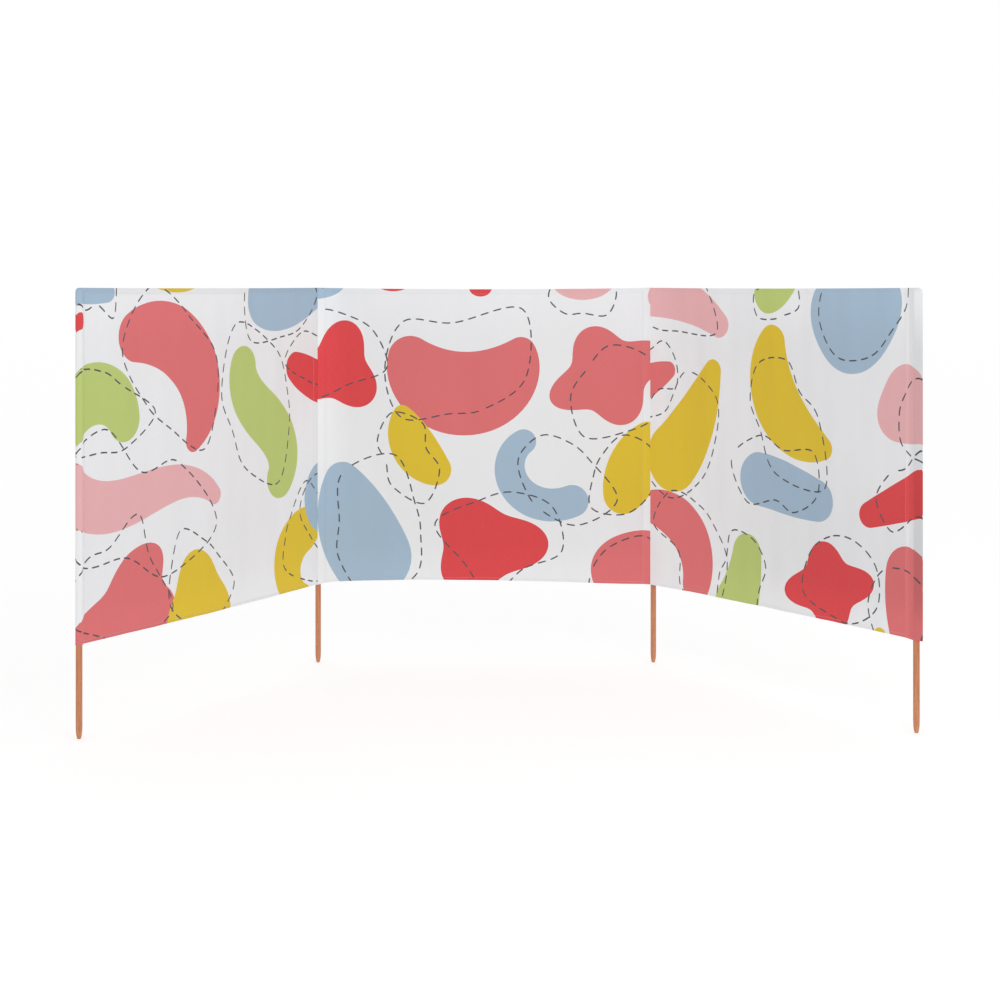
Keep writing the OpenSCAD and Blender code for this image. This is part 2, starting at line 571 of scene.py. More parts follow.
# From the pole's front the cloth eases onto the mid line of its bay
def easedOff(first, slope, far, count=9):
    t = np.linspace(0, 1, count)
    span = far - first[0]
    v = (2 * t ** 3 - 3 * t ** 2 + 1) * first[1] + (t ** 3 - 2 * t ** 2 + t) * span * slope
    return np.stack((first[0] + span * t, v), 1)


def lengths(points):
    return np.concatenate(([0], np.cumsum(np.hypot(*np.diff(points, axis=0).T))))


# The pocket of an outer pole, from its stitch line round the pole and back
def pocketLine(long, stitch, beyond, edge):
    radius = ply["radius"]
    lean = math.degrees(math.acos(radius / stitch))
    tangent = 180 - lean
    begin = (long - stitch, 0.0)
    if beyond > radius * 1.2:  # a slack pocket ends in its own narrow fold
        fold = 0.0026
        away = beyond - fold
        meet = math.degrees(math.acos((radius - fold) / away))
        front = np.concatenate(([begin], arcPoints((long, 0), radius, tangent, meet, 6)))
        turn = arcPoints((long + away, 0), fold, meet, -meet, 15)
        full = np.concatenate((front, turn, front[::-1] * (1, -1)))
    else:
        full = np.concatenate(([begin], arcPoints((long, 0), radius, tangent, -tangent, 7), [begin]))
    full[-1, 1] = -ply["behind"]
    reach = lengths(full)
    share = reach / reach[-1]
    flatU = begin[0] + (edge - begin[0]) * (1 - np.abs(1 - 2 * share))
    flatV = 0.0007 * np.cos(share * math.pi)
    return full, np.stack((flatU, flatV), 1)


print("print and plan lines ready")


# Full and flat shapes, run by run, made into one line with its length and the way that its front faces.
# lip is how far the cloth's first edge rolls forward
def planLine(name, runs, startAt, lip=0.0):
    full = np.concatenate([run[0][1 if i else 0:] for i, run in enumerate(runs)])
    flat = np.concatenate([run[1][1 if i else 0:] for i, run in enumerate(runs)])
    reach = lengths(full) + startAt
    ahead = np.gradient(full, reach, axis=0)
    ahead /= np.hypot(*ahead.T)[:, None]
    facing = np.stack((-ahead[:, 1], ahead[:, 0]), 1)
    return {"name": name, "bay": bays[name], "s": reach, "full": full, "flat": flat,
            "facing": facing, "lip": lip}


def between(full, first, last):
    share = lengths(full)
    share = (share / share[-1])[:, None]
    return full, np.array(first) * (1 - share) + np.array(last) * share


sewn = {
    "leftInner": 0.031,  # stitch lines, measured from the axis of their pole
    "leftOuter": 0.022,
    "rightInner": 0.041,
    "rightOuter": 0.046,
    "beyond": 0.027,  # how far the slack right pocket reaches past its pole
    "allowance": 0.012,
    "seamTurn": 95.0,  # where the left seam lies on its pole, from the middle bay's run
    "seamShort": 0.013,  # how far the right seam stops short of its pole
    "ease": 0.075,  # where the middle cloth has come down from its pole onto the mid line
    "easeRight": 0.24,  # and the right cloth
}


def allowanceBehind(stitch):
    return straight((stitch, -ply["behind"]), (stitch - sewn["allowance"], -ply["behind"]), 0.004)


# How far in front of its mid line the middle bay's right seam lies
def seamRise():
    lean = math.asin(ply["radius"] / sewn["rightInner"])
    return (sewn["rightInner"] - sewn["seamShort"]) * math.tan(lean)


def middleLine():
    radius, long = ply["radius"], bays["middle"]["long"]
    wrap = arcPoints((0, 0), radius, sewn["seamTurn"], 76)
    slope = -1 / math.tan(math.radians(76))
    off = easedOff(wrap[-1], slope, sewn["ease"])
    stitch = (long - sewn["rightInner"], 0.0)
    seam = (long - sewn["seamShort"], seamRise())
    runs = [
        between(np.concatenate((wrap, off[1:])), (0, ply["gap"]), (sewn["ease"], ply["gap"])),
        between(straight(off[-1], stitch, 0.008), (sewn["ease"], ply["gap"]), (stitch[0], ply["gap"])),
        between(straight(stitch, seam, 0.004), (stitch[0], ply["gap"]), (seam[0], ply["gap"])),
    ]
    return planLine("middle", runs, -0.001, 0.0009)


def leftLine():
    bay, radius = bays["left"], ply["radius"]
    turn = math.radians(-sewn["seamTurn"])
    seam = toBay(bay, axes["left_inner"] + radius * np.array((math.cos(turn), math.sin(turn))))
    inner = (sewn["leftInner"], 0.0)
    outer = (bay["long"] - sewn["leftOuter"], 0.0)
    edge = bay["long"] + radius + 0.0015
    full, flat = pocketLine(bay["long"], sewn["leftOuter"], 0.0, edge)
    tail = allowanceBehind(outer[0])
    runs = [
        between(straight(seam, inner, 0.003), (0, ply["gap"]), (inner[0], ply["gap"])),
        between(straight(inner, outer, 0.008), (inner[0], ply["gap"]), (outer[0], ply["gap"])),
        (full, flat),
        (tail, tail),
    ]
    return planLine("left", runs, inner[0] - math.dist(seam, inner))


def rightLine():
    bay = bays["right"]
    seam = toBay(bay, axes["right_inner"] + np.array((-sewn["seamShort"], -seamRise())))
    low = toBay(bay, axes["right_inner"] + np.array((-sewn["seamShort"], -ply["gap"])))
    off = easedOff(seam, -0.03, sewn["easeRight"], 26)
    outer = (bay["long"] - sewn["rightOuter"], 0.0)
    edge = bay["long"] + sewn["beyond"]
    full, flat = pocketLine(bay["long"], sewn["rightOuter"], sewn["beyond"], edge)
    tail = allowanceBehind(outer[0])
    runs = [
        between(off, low, (sewn["easeRight"], ply["gap"])),
        between(straight(off[-1], outer, 0.008), (sewn["easeRight"], ply["gap"]), (outer[0], ply["gap"])),
        (full, flat),
        (tail, tail),
    ]
    start = sewn["easeRight"] - lengths(off)[-1]
    return planLine("right", runs, start)


lines = {"left": leftLine(), "middle": middleLine(), "right": rightLine()}

# How each bay hangs: sag of the top edge, rise of the bottom edge in centimetres at shares of its length,
# bulge towards the front, rounding of the top corner at its free edge, and the painted shade and painted
# highlight in its colour (positive is darker)
hang = {
    "left": {
        "sag": 0.002,
        "foot": [(0, 0), (0.25, -0.35), (0.55, -0.5), (0.85, -0.2), (1, 0)],
        "bulge": -0.004,
        "corner": 0.015,
        "edge": bays["left"]["long"] + ply["radius"] + 0.0015,
        "inner": sewn["leftInner"],
        "outer": sewn["leftOuter"],
        "hemLean": 0.0035,
        "phase": 0.7,
        "hemShade": 1.0, "seamShade": 1.2, "poleShadow": 0.1, "flankShade": 0.0, "paintedHighlight": 0.0,
        "shade": 0.85, "shadeFrom": 0.5, "lift": 0.0,
    },
    "middle": {
        "sag": 0.006,
        "foot": [(0, 0), (0.05, 1.0), (0.2, 1.6), (0.42, 1.7), (0.7, 1.0), (0.87, 0.25), (1, 0)],
        "bulge": 0.004,
        "corner": 0.0,
        "inner": 0.03,
        "outer": sewn["rightInner"],
        "hemLean": 0.0005,
        "phase": 2.9,
        "hemShade": 0.35, "seamShade": 0.0, "poleShadow": 0.8, "flankShade": 0.0, "paintedHighlight": 0.0,
        "shade": 0.9, "shadeFrom": 0.3, "lift": 1.9,
    },
    "right": {
        "sag": 0.003,
        "foot": [(0, 0), (0.3, 0.2), (0.6, 0.25), (0.85, 0.15), (1, 0)],
        "bulge": -0.003,
        "corner": 0.019,
        "edge": bays["right"]["long"] + sewn["beyond"],
        "inner": 0.03,
        "outer": sewn["rightOuter"],
        "hemLean": 0.001,
        "phase": 5.1,
        "hemShade": 0.3, "seamShade": 0.0, "poleShadow": 1.6, "flankShade": 3.5, "paintedHighlight": 1.0,
        "shade": 1.75, "shadeFrom": 0.9, "lift": 1.6,
    },
}

# Slow ripples across the cloth: size, distance between crests, lean, phase
ripples = (
    (0.0011, 0.31, 0.10, 0.0),
    (0.0007, 0.17, -0.16, 1.9),
    (0.0005, 0.093, 0.05, 4.4),
    (0.0006, 0.40, 0.9, 2.6),
)
pull = {
    "calm": 0.10,  # distance from a pocket over which the ripples build up
    "pucker": 0.00035,
    "puckerApart": 0.034,
    "puckerReach": (0.012, 0.010),  # how far puckers spread from the top hem and from the foot hem
    "waver": (3, 23),  # how uneven they are, and how fast that changes along a bay
    "sunk": 0.0004,  # how far a hem's stitches pull the cloth in
    "sunkReach": 0.002,
}
# Heights of a hem's stitch line as shares of the hem
topStitch = 0.92
footStitch = 0.85
# Rows below the top edge, closer and closer, for the curve with which a pocket closes
closingRows = (0.014, 0.0115, 0.009, 0.0065, 0.0045, 0.0028, 0.0016, 0.0008, 0.0003, 0.0)


def eased(x):
    x = np.clip(x, 0, 1)
    return x * x * (3 - 2 * x)


def topOf(name, u):
    shape, long = hang[name], bays[name]["long"]
    share = np.clip(u / long, 0, 1)
    drop = shape["sag"] * np.sin(math.pi * share) ** 0.8
    if shape["corner"]:
        past = np.clip(u - (shape["edge"] - shape["corner"]), 0, shape["corner"] * 0.999)
        drop = drop + shape["corner"] - np.sqrt(shape["corner"] ** 2 - past ** 2)
    return clothTop - drop


def footOf(name, u):
    curve = smoothRun(hang[name]["foot"])
    return clothFoot + cm * np.interp(np.clip(u / bays[name]["long"], 0, 1), curve[:, 0], curve[:, 1])


def rippleAt(name, u, h):
    shape, long = hang[name], bays[name]["long"]
    room = eased((u - shape["inner"]) / pull["calm"]) * eased((long - shape["outer"] - u) / pull["calm"])
    rise = shape["bulge"] * np.sin(math.pi * np.clip(u / long, 0, 1)) * np.sin(math.pi * h / clothHigh)
    for size, apart, lean, phase in ripples:
        rise = rise + size * np.sin(2 * math.pi * (u + lean * h) / apart + phase + shape["phase"])
    below = clothHigh - h
    topReach, footReach = pull["puckerReach"]
    pucker = np.exp(-((below - topHem) / topReach) ** 2) + np.exp(-((h - footHem) / footReach) ** 2)
    waver = pull["waver"][0] * np.sin(u * pull["waver"][1])
    rise = rise + pull["pucker"] * pucker * np.sin(2 * math.pi * u / pull["puckerApart"] + waver)
    lean = shape["hemLean"] * np.clip(1 - below / topHem, 0, 1)
    atTop = np.exp(-((below - topHem * topStitch) / pull["sunkReach"]) ** 2)
    atFoot = np.exp(-((h - footHem * footStitch) / pull["sunkReach"]) ** 2)
    return room * (rise - lean - pull["sunk"] * (atTop + atFoot))


# The place on a bay's cloth at a length s along it and a height h up it, moved depth behind its front
def surface(line, s, h, depth=0.0, turnBack=True):
    name = line["name"]
    s, h = np.broadcast_arrays(np.asarray(s, float), np.asarray(h, float))
    pick = [np.interp(s, line["s"], line[key][:, i]) for key in ("full", "flat", "facing") for i in (0, 1)]
    fullU, fullV, flatU, flatV, outU, outV = pick
    top, foot = topOf(name, flatU), footOf(name, flatU)
    z = foot + h / clothHigh * (top - foot)
    below = np.maximum(top - z, 0)
    shut = np.clip(1 - below / ply["close"], 0, 1)
    spare = np.sqrt(np.maximum(1 - shut ** 2, 0))
    u = flatU + spare * (fullU - flatU)
    v = flatV + spare * (fullV - flatV)
    back = depth + (0.0005 * np.clip(1 - below / 0.0012, 0, 1) ** 2 if turnBack else 0.0)
    lift = rippleAt(name, fullU, h) * (outV > 0.9) - back
    lift = lift + line["lip"] * np.exp(-((s - line["s"][0]) / 0.003) ** 2)
    flatPlace = toWorld(line["bay"], u + outU * lift, v + outV * lift)
    return np.column_stack((flatPlace, z))


# Gives a sheet its back and its cut edges, so that it is one closed skin
def thicken(points, faces, thickness):
    corner = points[faces]
    flatNormal = np.cross(corner[:, 1] - corner[:, 0], corner[:, 2] - corner[:, 0])
    normal = np.zeros_like(points)
    for i in range(3):
        np.add.at(normal, faces[:, i], flatNormal)
    normal /= np.maximum(np.linalg.norm(normal, axis=1), 1e-12)[:, None]
    back = points - normal * thickness
    count = len(points)
    edges = np.concatenate([faces[:, [0, 1]], faces[:, [1, 2]], faces[:, [2, 0]]])
    key = {(int(a), int(b)) for a, b in edges}
    rim = sorted((a, b) for a, b in key if (b, a) not in key)
    rims = [(b, a, a + count, b + count) for a, b in rim]
    frontFaces = [tuple(map(int, face)) for face in faces]
    backFaces = [tuple(int(i) + count for i in face[::-1]) for face in faces]
    return np.concatenate((points, back)), frontFaces + backFaces + rims, len(rims)


def makePiece(name, points, faces, materials, picks=None, uv=None, bakeMap=None, paintedShading=None):
    mesh = bpy.data.meshes.new(name)
    mesh.from_pydata([tuple(p) for p in points], [], faces)
    for material in materials:
        mesh.materials.append(material)
    if picks is not None:
        mesh.polygons.foreach_set("material_index", np.asarray(picks, np.int32))
    mesh.polygons.foreach_set("use_smooth", [True] * len(mesh.polygons))
    corners = np.zeros(len(mesh.loops), np.int32)
    mesh.loops.foreach_get("vertex_index", corners)
    if uv is not None:
        layer = mesh.uv_layers.new(name="cloth")
        layer.data.foreach_set("uv", np.asarray(uv)[corners].astype(np.float32).ravel())
    if bakeMap is not None:
        layer = mesh.uv_layers.new(name="OFBake")
        layer.data.foreach_set("uv", bakeMap(corners).astype(np.float32).ravel())
    # Per point painted shade and painted highlight of the cloth
    if paintedShading is not None:
        values = mesh.attributes.new("paintedShading", "FLOAT", "POINT")
        values.data.foreach_set("value", np.asarray(paintedShading, np.float32))
    mesh.set_sharp_from_angle(angle=math.radians(55))
    mesh.validate()
    mesh.update()
    piece = bpy.data.objects.new(name, mesh)
    scene.collection.objects.link(piece)
    return piece


def stations(marks, step):
    places = []
    for a, b in zip(marks, marks[1:]):
        count = max(1, int((b - a) / step + 0.5))
        places += [a + (b - a) * i / count for i in range(count)]
    return np.array(places + [marks[-1]])


# Cuts a net of faces along the outlines of the print, and says which ink each face has
def cutPrint(columns, rows, outlines):
    knots = [Vector((x, y)) for x in columns for y in rows]
    left, right, low, high = columns[0], columns[-1], rows[0], rows[-1]
    loops = []
    shapes = [np.array(((left, low), (right, low), (right, high), (left, high)))]
    shapes += [p for ink, p in outlines]
    for shape in shapes:
        x, y = shape.T
        if np.sum(x * np.roll(y, -1) - y * np.roll(x, -1)) < 0:
            shape = shape[::-1]  # every outline has to run anticlockwise
        first = len(knots)
        knots += [Vector(p) for p in shape]
        loops.append(list(range(first, first + len(shape))))
    cut = delaunay_2d_cdt(knots, [], loops, 0, 1e-6, True)
    flat = np.array([tuple(p) for p in cut[0]])
    order = ["white"] + [ink for ink, p in outlines]
    kept, dyes = [], []
    for face, origin in zip(cut[2], cut[5]):
        if 0 in origin:
            kept.append(face)
            dyes.append(inkOrder.index(order[max(origin)]))
    used, kept = np.unique(np.array(kept), return_inverse=True)
    return flat[used], kept.reshape(-1, 3), np.array(dyes)


# Front above, back below, and the cut edges in a narrow band between them: where each begins, and its size
mapSpan = {"across": (0.004, 0.992), "front": (0.33, 0.664), "back": (0.006, 0.30), "edges": (0.314, 0.008)}


def clothMap(flat, frontFaces, rims):
    low, size = flat.min(0), np.ptp(flat, axis=0)
    share = (flat - low) / size
    (left, wide), (front, frontHigh), (back, backHigh), (edge, edgeHigh) = mapSpan.values()

    def lay(corners):
        count = len(flat)
        place = np.zeros((len(corners), 2))
        isBack = corners >= count
        own = share[np.where(isBack, corners - count, corners)]
        place[:, 0] = left + own[:, 0] * wide
        place[:, 1] = np.where(isBack, back + own[:, 1] * backHigh, front + own[:, 1] * frontHigh)
        begin = 2 * 3 * frontFaces
        ring = np.arange(rims)
        for corner, (du, dv) in enumerate(((1, 0), (0, 0), (0, 1), (1, 1))):
            place[begin + corner + 4 * ring, 0] = left + wide * (ring + du) / rims
            place[begin + corner + 4 * ring, 1] = edge + edgeHigh * dv
        return place

    return lay


# Soft shading that is part of the cloth's colour, not of the lights: it sets in under the top hem,
# deepens towards the foot and eases off over the foot hem. Each row holds how much, and as shares of the
# height where it begins and how long it takes. The cloth is even with this, the seam's tone below it and
# the tones in hang at 0
shading = {
    "belowHem": (0.9, 0.0, 0.2),
    "deeper": (0.5, 0.45, 0.3),
    "footEase": (-0.9, 0.86, 0.12),
}
# Spreads of the painted shade and painted light at stitch lines, hems and inner poles
toneEdges = {
    "seam": 0.9,  # painted shade on a stitch line itself
    "seamWide": 0.0016,
    "hem": 0.002,  # distance over which a hem's painted shade sets in
    "beside": 0.01,  # and over which painted shade changes beside a stitch line
    "liftReach": 0.15,  # how far from an inner pole the cloth is painted lighter
}


# Painted shade and painted highlight in the cloth's colour: how much darker it is made at hems, at stitch
# lines, over a pole and down its height, and how much lighter near an inner pole and just past an outer
# stitch line
def paintedShadingAt(line, s, h):
    name = line["name"]
    shape, long = hang[name], bays[name]["long"]
    u = np.interp(s, line["s"], line["full"][:, 0])
    seam = long - shape["outer"]
    edge, beside = toneEdges["hem"], toneEdges["beside"]
    # Painted shade over the hem bands
    band = eased((h - (clothHigh - topHem)) / edge) + eased((footHem - h) / edge)
    inside = eased((u - shape["inner"]) / beside) * eased((seam - u) / beside)
    tone = np.clip(band, 0, 1) * inside * shape["hemShade"]
    # Painted shade along the stitch lines
    for place in (shape["inner"], seam):
        tone = tone + toneEdges["seam"] * np.exp(-((u - place) / toneEdges["seamWide"]) ** 2)
    # Painted shadow of the pole behind the cloth, rising from the outer stitch line
    overPole = eased((u - seam) / max(shape["outer"] - 0.008, 0.006))
    # Painted highlight just past the outer stitch line
    paintedHighlight = np.exp(-((u - seam - 0.010) / 0.007) ** 2)
    down = 1 - h / clothHigh
    fall = sum(much * eased((down - begin) / over) for much, begin, over in shading.values())
    # Painted shade on the outer flank of a pocket, deepening down the bay
    flank = fall * eased((u - (long - 0.006)) / beside)
    bare = 1 - eased((u - (seam - 0.006)) / beside)
    # Painted shade on the strip between the seam and the inner stitch line
    tone = tone + shape["seamShade"] * (1 - eased((u - shape["inner"] + 0.006) / 0.005))
    # Painted shade that deepens down the bay and stops at the outer pocket
    tone = tone + shape["shade"] * fall * bare * eased(u / shape["shadeFrom"])
    # Painted light: lighter towards the top near the inner pole
    tone = tone - shape["lift"] * (1 - down) * (1 - eased(u / toneEdges["liftReach"]))
    return tone + shape["poleShadow"] * overPole + shape["flankShade"] * flank - shape["paintedHighlight"] * paintedHighlight


meshStep = {"along": 0.0062, "up": 0.012, "hem": 0.006, "closest": 0.0012}


# A flat cut sheet, laid out on its points, becomes a closed skin with its dyes and maps
def makeSheet(title, points, flat, faces, dyes, uv, thickness, paintedShading=None):
    skin, allFaces, rims = thicken(points, faces, thickness)
    materials = [frontCloth[ink] for ink in inkOrder] + [backCloth[ink] for ink in inkOrder]
    picks = np.concatenate((dyes, dyes + len(inkOrder), np.full(rims, len(inkOrder))))
    print(title, len(allFaces), "faces")
    lay = clothMap(flat, len(faces), rims)
    return makePiece(title, skin, allFaces, materials, picks, np.concatenate((uv, uv)), lay, paintedShading)


def makeCloth(title, line, outlines):
    marks = line["s"]
    keep = [marks[0]]
    for s in marks[1:]:
        if s - keep[-1] > meshStep["closest"] or s == marks[-1]:
            keep.append(s)
    columns = stations(keep, meshStep["along"])
    footRows = footHem * np.array((0.6, footStitch, 1.1, 1.5))
    upRows = clothHigh - topHem * np.array((1.6, 1.15, topStitch, 0.8))
    rows = stations([0.0, *footRows, *upRows, *(clothHigh - np.array(closingRows))], meshStep["up"])
    flat, faces, dyes = cutPrint(columns, rows, outlines)
    if line["bay"]["hand"] < 0:
        faces = faces[:, ::-1]
    points = surface(line, flat[:, 0], flat[:, 1])
    # Painted shade and painted highlight for the front and the back points
    paintedShading = np.tile(paintedShadingAt(line, flat[:, 0], flat[:, 1]), 2)
    piece = makeSheet(title, points, flat, faces, dyes, flat, cloth["thickness"], paintedShading)
    return piece, (float(line["s"][-1] - line["s"][0]), clothHigh)


def facesFront(points, faces, line):
    corner = points[faces]
    way = np.cross(corner[:, 1] - corner[:, 0], corner[:, 2] - corner[:, 0]).sum(0)
    return float(way[:2] @ line["bay"]["front"]) > 0


hemFold = {
    "turn": 0.0016,  # height of the fold
    "behind": 0.0007,  # depth behind the cloth's front at the fold
    "deeper": 0.0008,  # and how much further back the hem hangs
    "roll": 0.0004,
    "thickness": 0.8,  # as a share of the cloth's
}


# The hem turned down behind a cloth's edge, with the printed face outwards
def makeHem(name, edge, outlines, first, last):
    line = lines[name]
    deep = topHem if edge == "top" else footHem
    columns = stations([first, last], meshStep["along"])
    rows = stations([0.0, 0.0007, hemFold["turn"], deep - 0.0016, deep - 0.0006, deep], meshStep["hem"])
    fold, way = (clothHigh, 1) if edge == "top" else (0.0, -1)
    turnedOver = [(ink, np.stack((p[:, 0], way * (p[:, 1] - fold)), 1)) for ink, p in outlines]
    flat, faces, dyes = cutPrint(columns, rows, turnedOver)
    height = fold - way * flat[:, 1]
    roll = hemFold["roll"] * np.exp(-((flat[:, 1] - deep + 0.001) / 0.001) ** 2)
    depth = hemFold["behind"] + hemFold["deeper"] * eased(flat[:, 1] / hemFold["turn"]) + roll
    points = surface(line, flat[:, 0], height, depth, False)
    faces = faces[:, ::-1] if facesFront(points, faces, line) else faces
    title = name + ("TopHem" if edge == "top" else "FootHem")
    uv = np.stack((flat[:, 0], height), 1)
    return makeSheet(title, points, flat, faces, dyes, uv, cloth["thickness"] * hemFold["thickness"])


# Many stitches as one piece: each a short arched thread that dips into the cloth at both ends
thread = {"long": 0.0034, "apart": 0.0046, "wide": 0.0006, "high": 0.00045}


def stitchBodies(centres, ahead, up):
    side = np.cross(up, ahead)
    swells = ((-0.5, 0.0), (-0.28, 0.8), (0.0, 1.0), (0.28, 0.8), (0.5, 0.0))
    ring = ((0.5, 0.0), (0.0, 0.75), (-0.5, 0.0), (0.0, -0.35))
    local, faces = [], []
    for t, swell in swells:
        for across, rise in (ring if swell else ((0.0, -0.3),)):
            high = rise * thread["high"] * max(swell, 0.4)
            local.append((t * thread["long"], across * thread["wide"], high))
    for start in (1, 5):
        for i in range(4):
            j = (i + 1) % 4
            faces.append((start + i, start + j, start + 4 + j, start + 4 + i))
    for i in range(4):
        j = (i + 1) % 4
        faces.append((0, 1 + j, 1 + i))
        faces.append((13, 9 + i, 9 + j))
    local = np.array(local)
    points = centres[:, None]
    for i, way in enumerate((ahead, side, up)):
        points = points + local[None, :, i, None] * way[:, None]
    allFaces = [tuple(i + 14 * k for i in face) for k in range(len(centres)) for face in faces]
    return points.reshape(-1, 3), allFaces


# A row of stitches on a line from (s, h) to (s, h), on the front or at a depth behind it
def stitchRow(line, first, last, depth=None):
    reach = math.dist(first, last)
    count = int(reach / thread["apart"])
    t = (np.arange(count) + 0.5) / count
    s = first[0] + (last[0] - first[0]) * t
    h = first[1] + (last[1] - first[1]) * t
    away = -0.0001 if depth is None else depth
    centres = surface(line, s, h, away, False)
    step = 0.0004
    ds = surface(line, s + step, h, away, False) - surface(line, s - step, h, away, False)
    dh = surface(line, s, h + step, away, False) - surface(line, s, h - step, away, False)
    up = np.cross(ds, dh) * line["bay"]["hand"]
    up /= np.linalg.norm(up, axis=1)[:, None]
    if depth is not None:
        up = -up
    ahead = ds if abs(last[0] - first[0]) > abs(last[1] - first[1]) else dh
    ahead = ahead / np.linalg.norm(ahead, axis=1)[:, None]
    return stitchBodies(centres, ahead, up)


def sewRows(name, rows):
    points, faces = [], []
    for row in rows:
        more, moreFaces = stitchRow(*row)
        first = sum(len(p) for p in points)
        points.append(more)
        faces += [tuple(i + first for i in face) for face in moreFaces]
    piece = makePiece(name, np.concatenate(points), faces, [sewingThread])
    print(name, len(faces), "faces")
    return piece


outlinesOf = {name: printFor(name) for name in bays}
leftCloth, leftCut = makeCloth("leftCloth", lines["left"], outlinesOf["left"])
middleCloth, middleCut = makeCloth("middleCloth", lines["middle"], outlinesOf["middle"])
rightCloth, rightCut = makeCloth("rightCloth", lines["right"], outlinesOf["right"])


flap = {
    "slack": 0.0002,
    "past": 0.009,  # how far it runs past the stitch line
    "behind": -0.0009,
    "shy": 0.006,  # how far it keeps clear of the other bay's seam where it is sewn flat
}


# The plain rear ply of an inner pocket, from its stitch line round the back of the pole
def flapLine(name, stitchAt, centre, first, last):
    wrap = arcPoints(centre, ply["radius"] + flap["slack"], first, last, 7)
    full = np.concatenate((straight(stitchAt, wrap[0], 0.004), wrap[1:]))
    share = lengths(full)
    share = (share / share[-1])[:, None]
    shy = centre[0] + math.copysign(flap["shy"], stitchAt[0] - centre[0])
    flat = np.array(stitchAt) * (1 - share) + np.array((shy, stitchAt[1] - 0.0003)) * share
    return planLine(name, [(full, flat)], 0.0)


def rearLean(stitch):
    return math.degrees(math.acos((ply["radius"] + flap["slack"]) / sewn[stitch]))


middleLong = bays["middle"]["long"]
leftStart = (sewn["leftInner"] + flap["past"], flap["behind"])
leftFlapLine = flapLine("left", leftStart, (0, 0), -rearLean("leftInner"), -100)
rightStart = (middleLong - sewn["rightInner"] - flap["past"], flap["behind"])
rightFlapLine = flapLine("middle", rightStart, (middleLong, 0), rearLean("rightInner") - 180, -75)
leftInnerFlap, leftFlapCut = makeCloth("leftInnerFlap", leftFlapLine, [])
rightInnerFlap, rightFlapCut = makeCloth("rightInnerFlap", rightFlapLine, [])

# Where each bay's hems begin, and how far short of the outer stitch line they end
hemEnds = {"left": (0.046, "leftOuter", 0.013), "middle": (0.075, "rightInner", 0.011),
           "right": (0.053, "rightOuter", 0.013)}
hems = {}
for name, (first, seam, short) in hemEnds.items():
    for edge in ("top", "foot"):
        last = bays[name]["long"] - sewn[seam] - short
        hems[name, edge] = makeHem(name, edge, outlinesOf[name], first, last)
print("hems made")

# The pocket that holds an inner pole: a plain tube, sewn flat over the pole's top
sleeve = {
    "inner": poleRadius + 0.00015,
    "thickness": 0.0004,
    "around": 44,
    "setBack": 0.0012,  # how far back its flat end lies
    "below": 0.002,  # below the top edge of the bay's cloth
    "spread": 0.2,  # how much wider it gets where it is sewn flat
    "ripple": 0.00012,
}


def innerSleeve(title, pole):
    top = clothTop - sleeve["below"]
    rows = stations([clothFoot + 0.001, clothFoot + 0.012, *(top - np.array((0.016, *closingRows)))], 0.03)
    angles = np.arange(sleeve["around"]) * 2 * math.pi / sleeve["around"]
    layers = []
    for radius, thin in ((sleeve["inner"] + sleeve["thickness"], 0.00035), (sleeve["inner"], 0.0001)):
        rings = []
        for z in rows:
            shut = min(1.0, max(0.0, 1 - (top - z) / ply["close"]))
            spare = math.sqrt(1 - shut ** 2)
            wide = radius * (1 + sleeve["spread"] * (1 - spare))
            deep = max(radius * spare, thin)
            x, y = wide * np.cos(angles), deep * np.sin(angles) + sleeve["setBack"] * (1 - spare)
            ripple = sleeve["ripple"] * np.sin(angles * 3 + z * 41) * spare
            place = np.stack((x * (1 + ripple / radius), y * (1 + ripple / radius)), 1)
            rings.append(np.column_stack((place + axes[pole], np.full(len(x), z))))
        layers.append(np.concatenate(rings))
    n, high = sleeve["around"], len(rows)
    outer, rims = [], []
    for i in range(high - 1):
        for j in range(n):
            k = (j + 1) % n
            outer.append((i * n + j, i * n + k, (i + 1) * n + k, (i + 1) * n + j))
    inner = [tuple(v + n * high for v in face[::-1]) for face in outer]
    last = (high - 1) * n
    for j in range(n):
        k = (j + 1) % n
        rims.append((j + n * high, k + n * high, k, j))
        rims.append((last + j, last + k, last + k + n * high, last + j + n * high))
    points = np.concatenate(layers)
    uv = np.stack((np.tile(angles * sleeve["inner"], 2 * high), points[:, 2]), 1)
    white = [frontCloth["white"], backCloth["white"]]
    picks = [0] * len(outer) + [1] * len(inner) + [1] * len(rims)
    return makePiece(title, points, outer + inner + rims, white, picks, uv)


leftInnerSleeve = innerSleeve("leftInnerSleeve", "left_inner")
rightInnerSleeve = innerSleeve("rightInnerSleeve", "right_inner")
print("sleeves made")

seams = {
    "topHem": 0.0018,  # stitches above the top hem's lower edge
    "footHem": 0.0022,  # and below the foot hem's upper edge
    "behind": 0.0017,  # depth of the row seen from behind
    "short": 0.002,  # how far hem rows stop short of the outer seam
    "beside": 0.0003,
    "ends": 0.003,
}


def hemRows(name, first, last):
    line = lines[name]
    upper, lower = clothHigh - topHem + seams["topHem"], footHem - seams["footHem"]
    rows = []
    for h in (upper, lower):
        rows.append((line, (first, h), (last, h)))
        rows.append((line, (first, h), (last, h), seams["behind"]))
    return rows


def upRow(line, s):
    return line, (s, seams["ends"]), (s, clothHigh - seams["ends"])


# The length along a line where it first comes as far out as u
def reachAt(line, u):
    return float(line["s"][np.argmax(line["full"][:, 0] > u - 0.00001)])


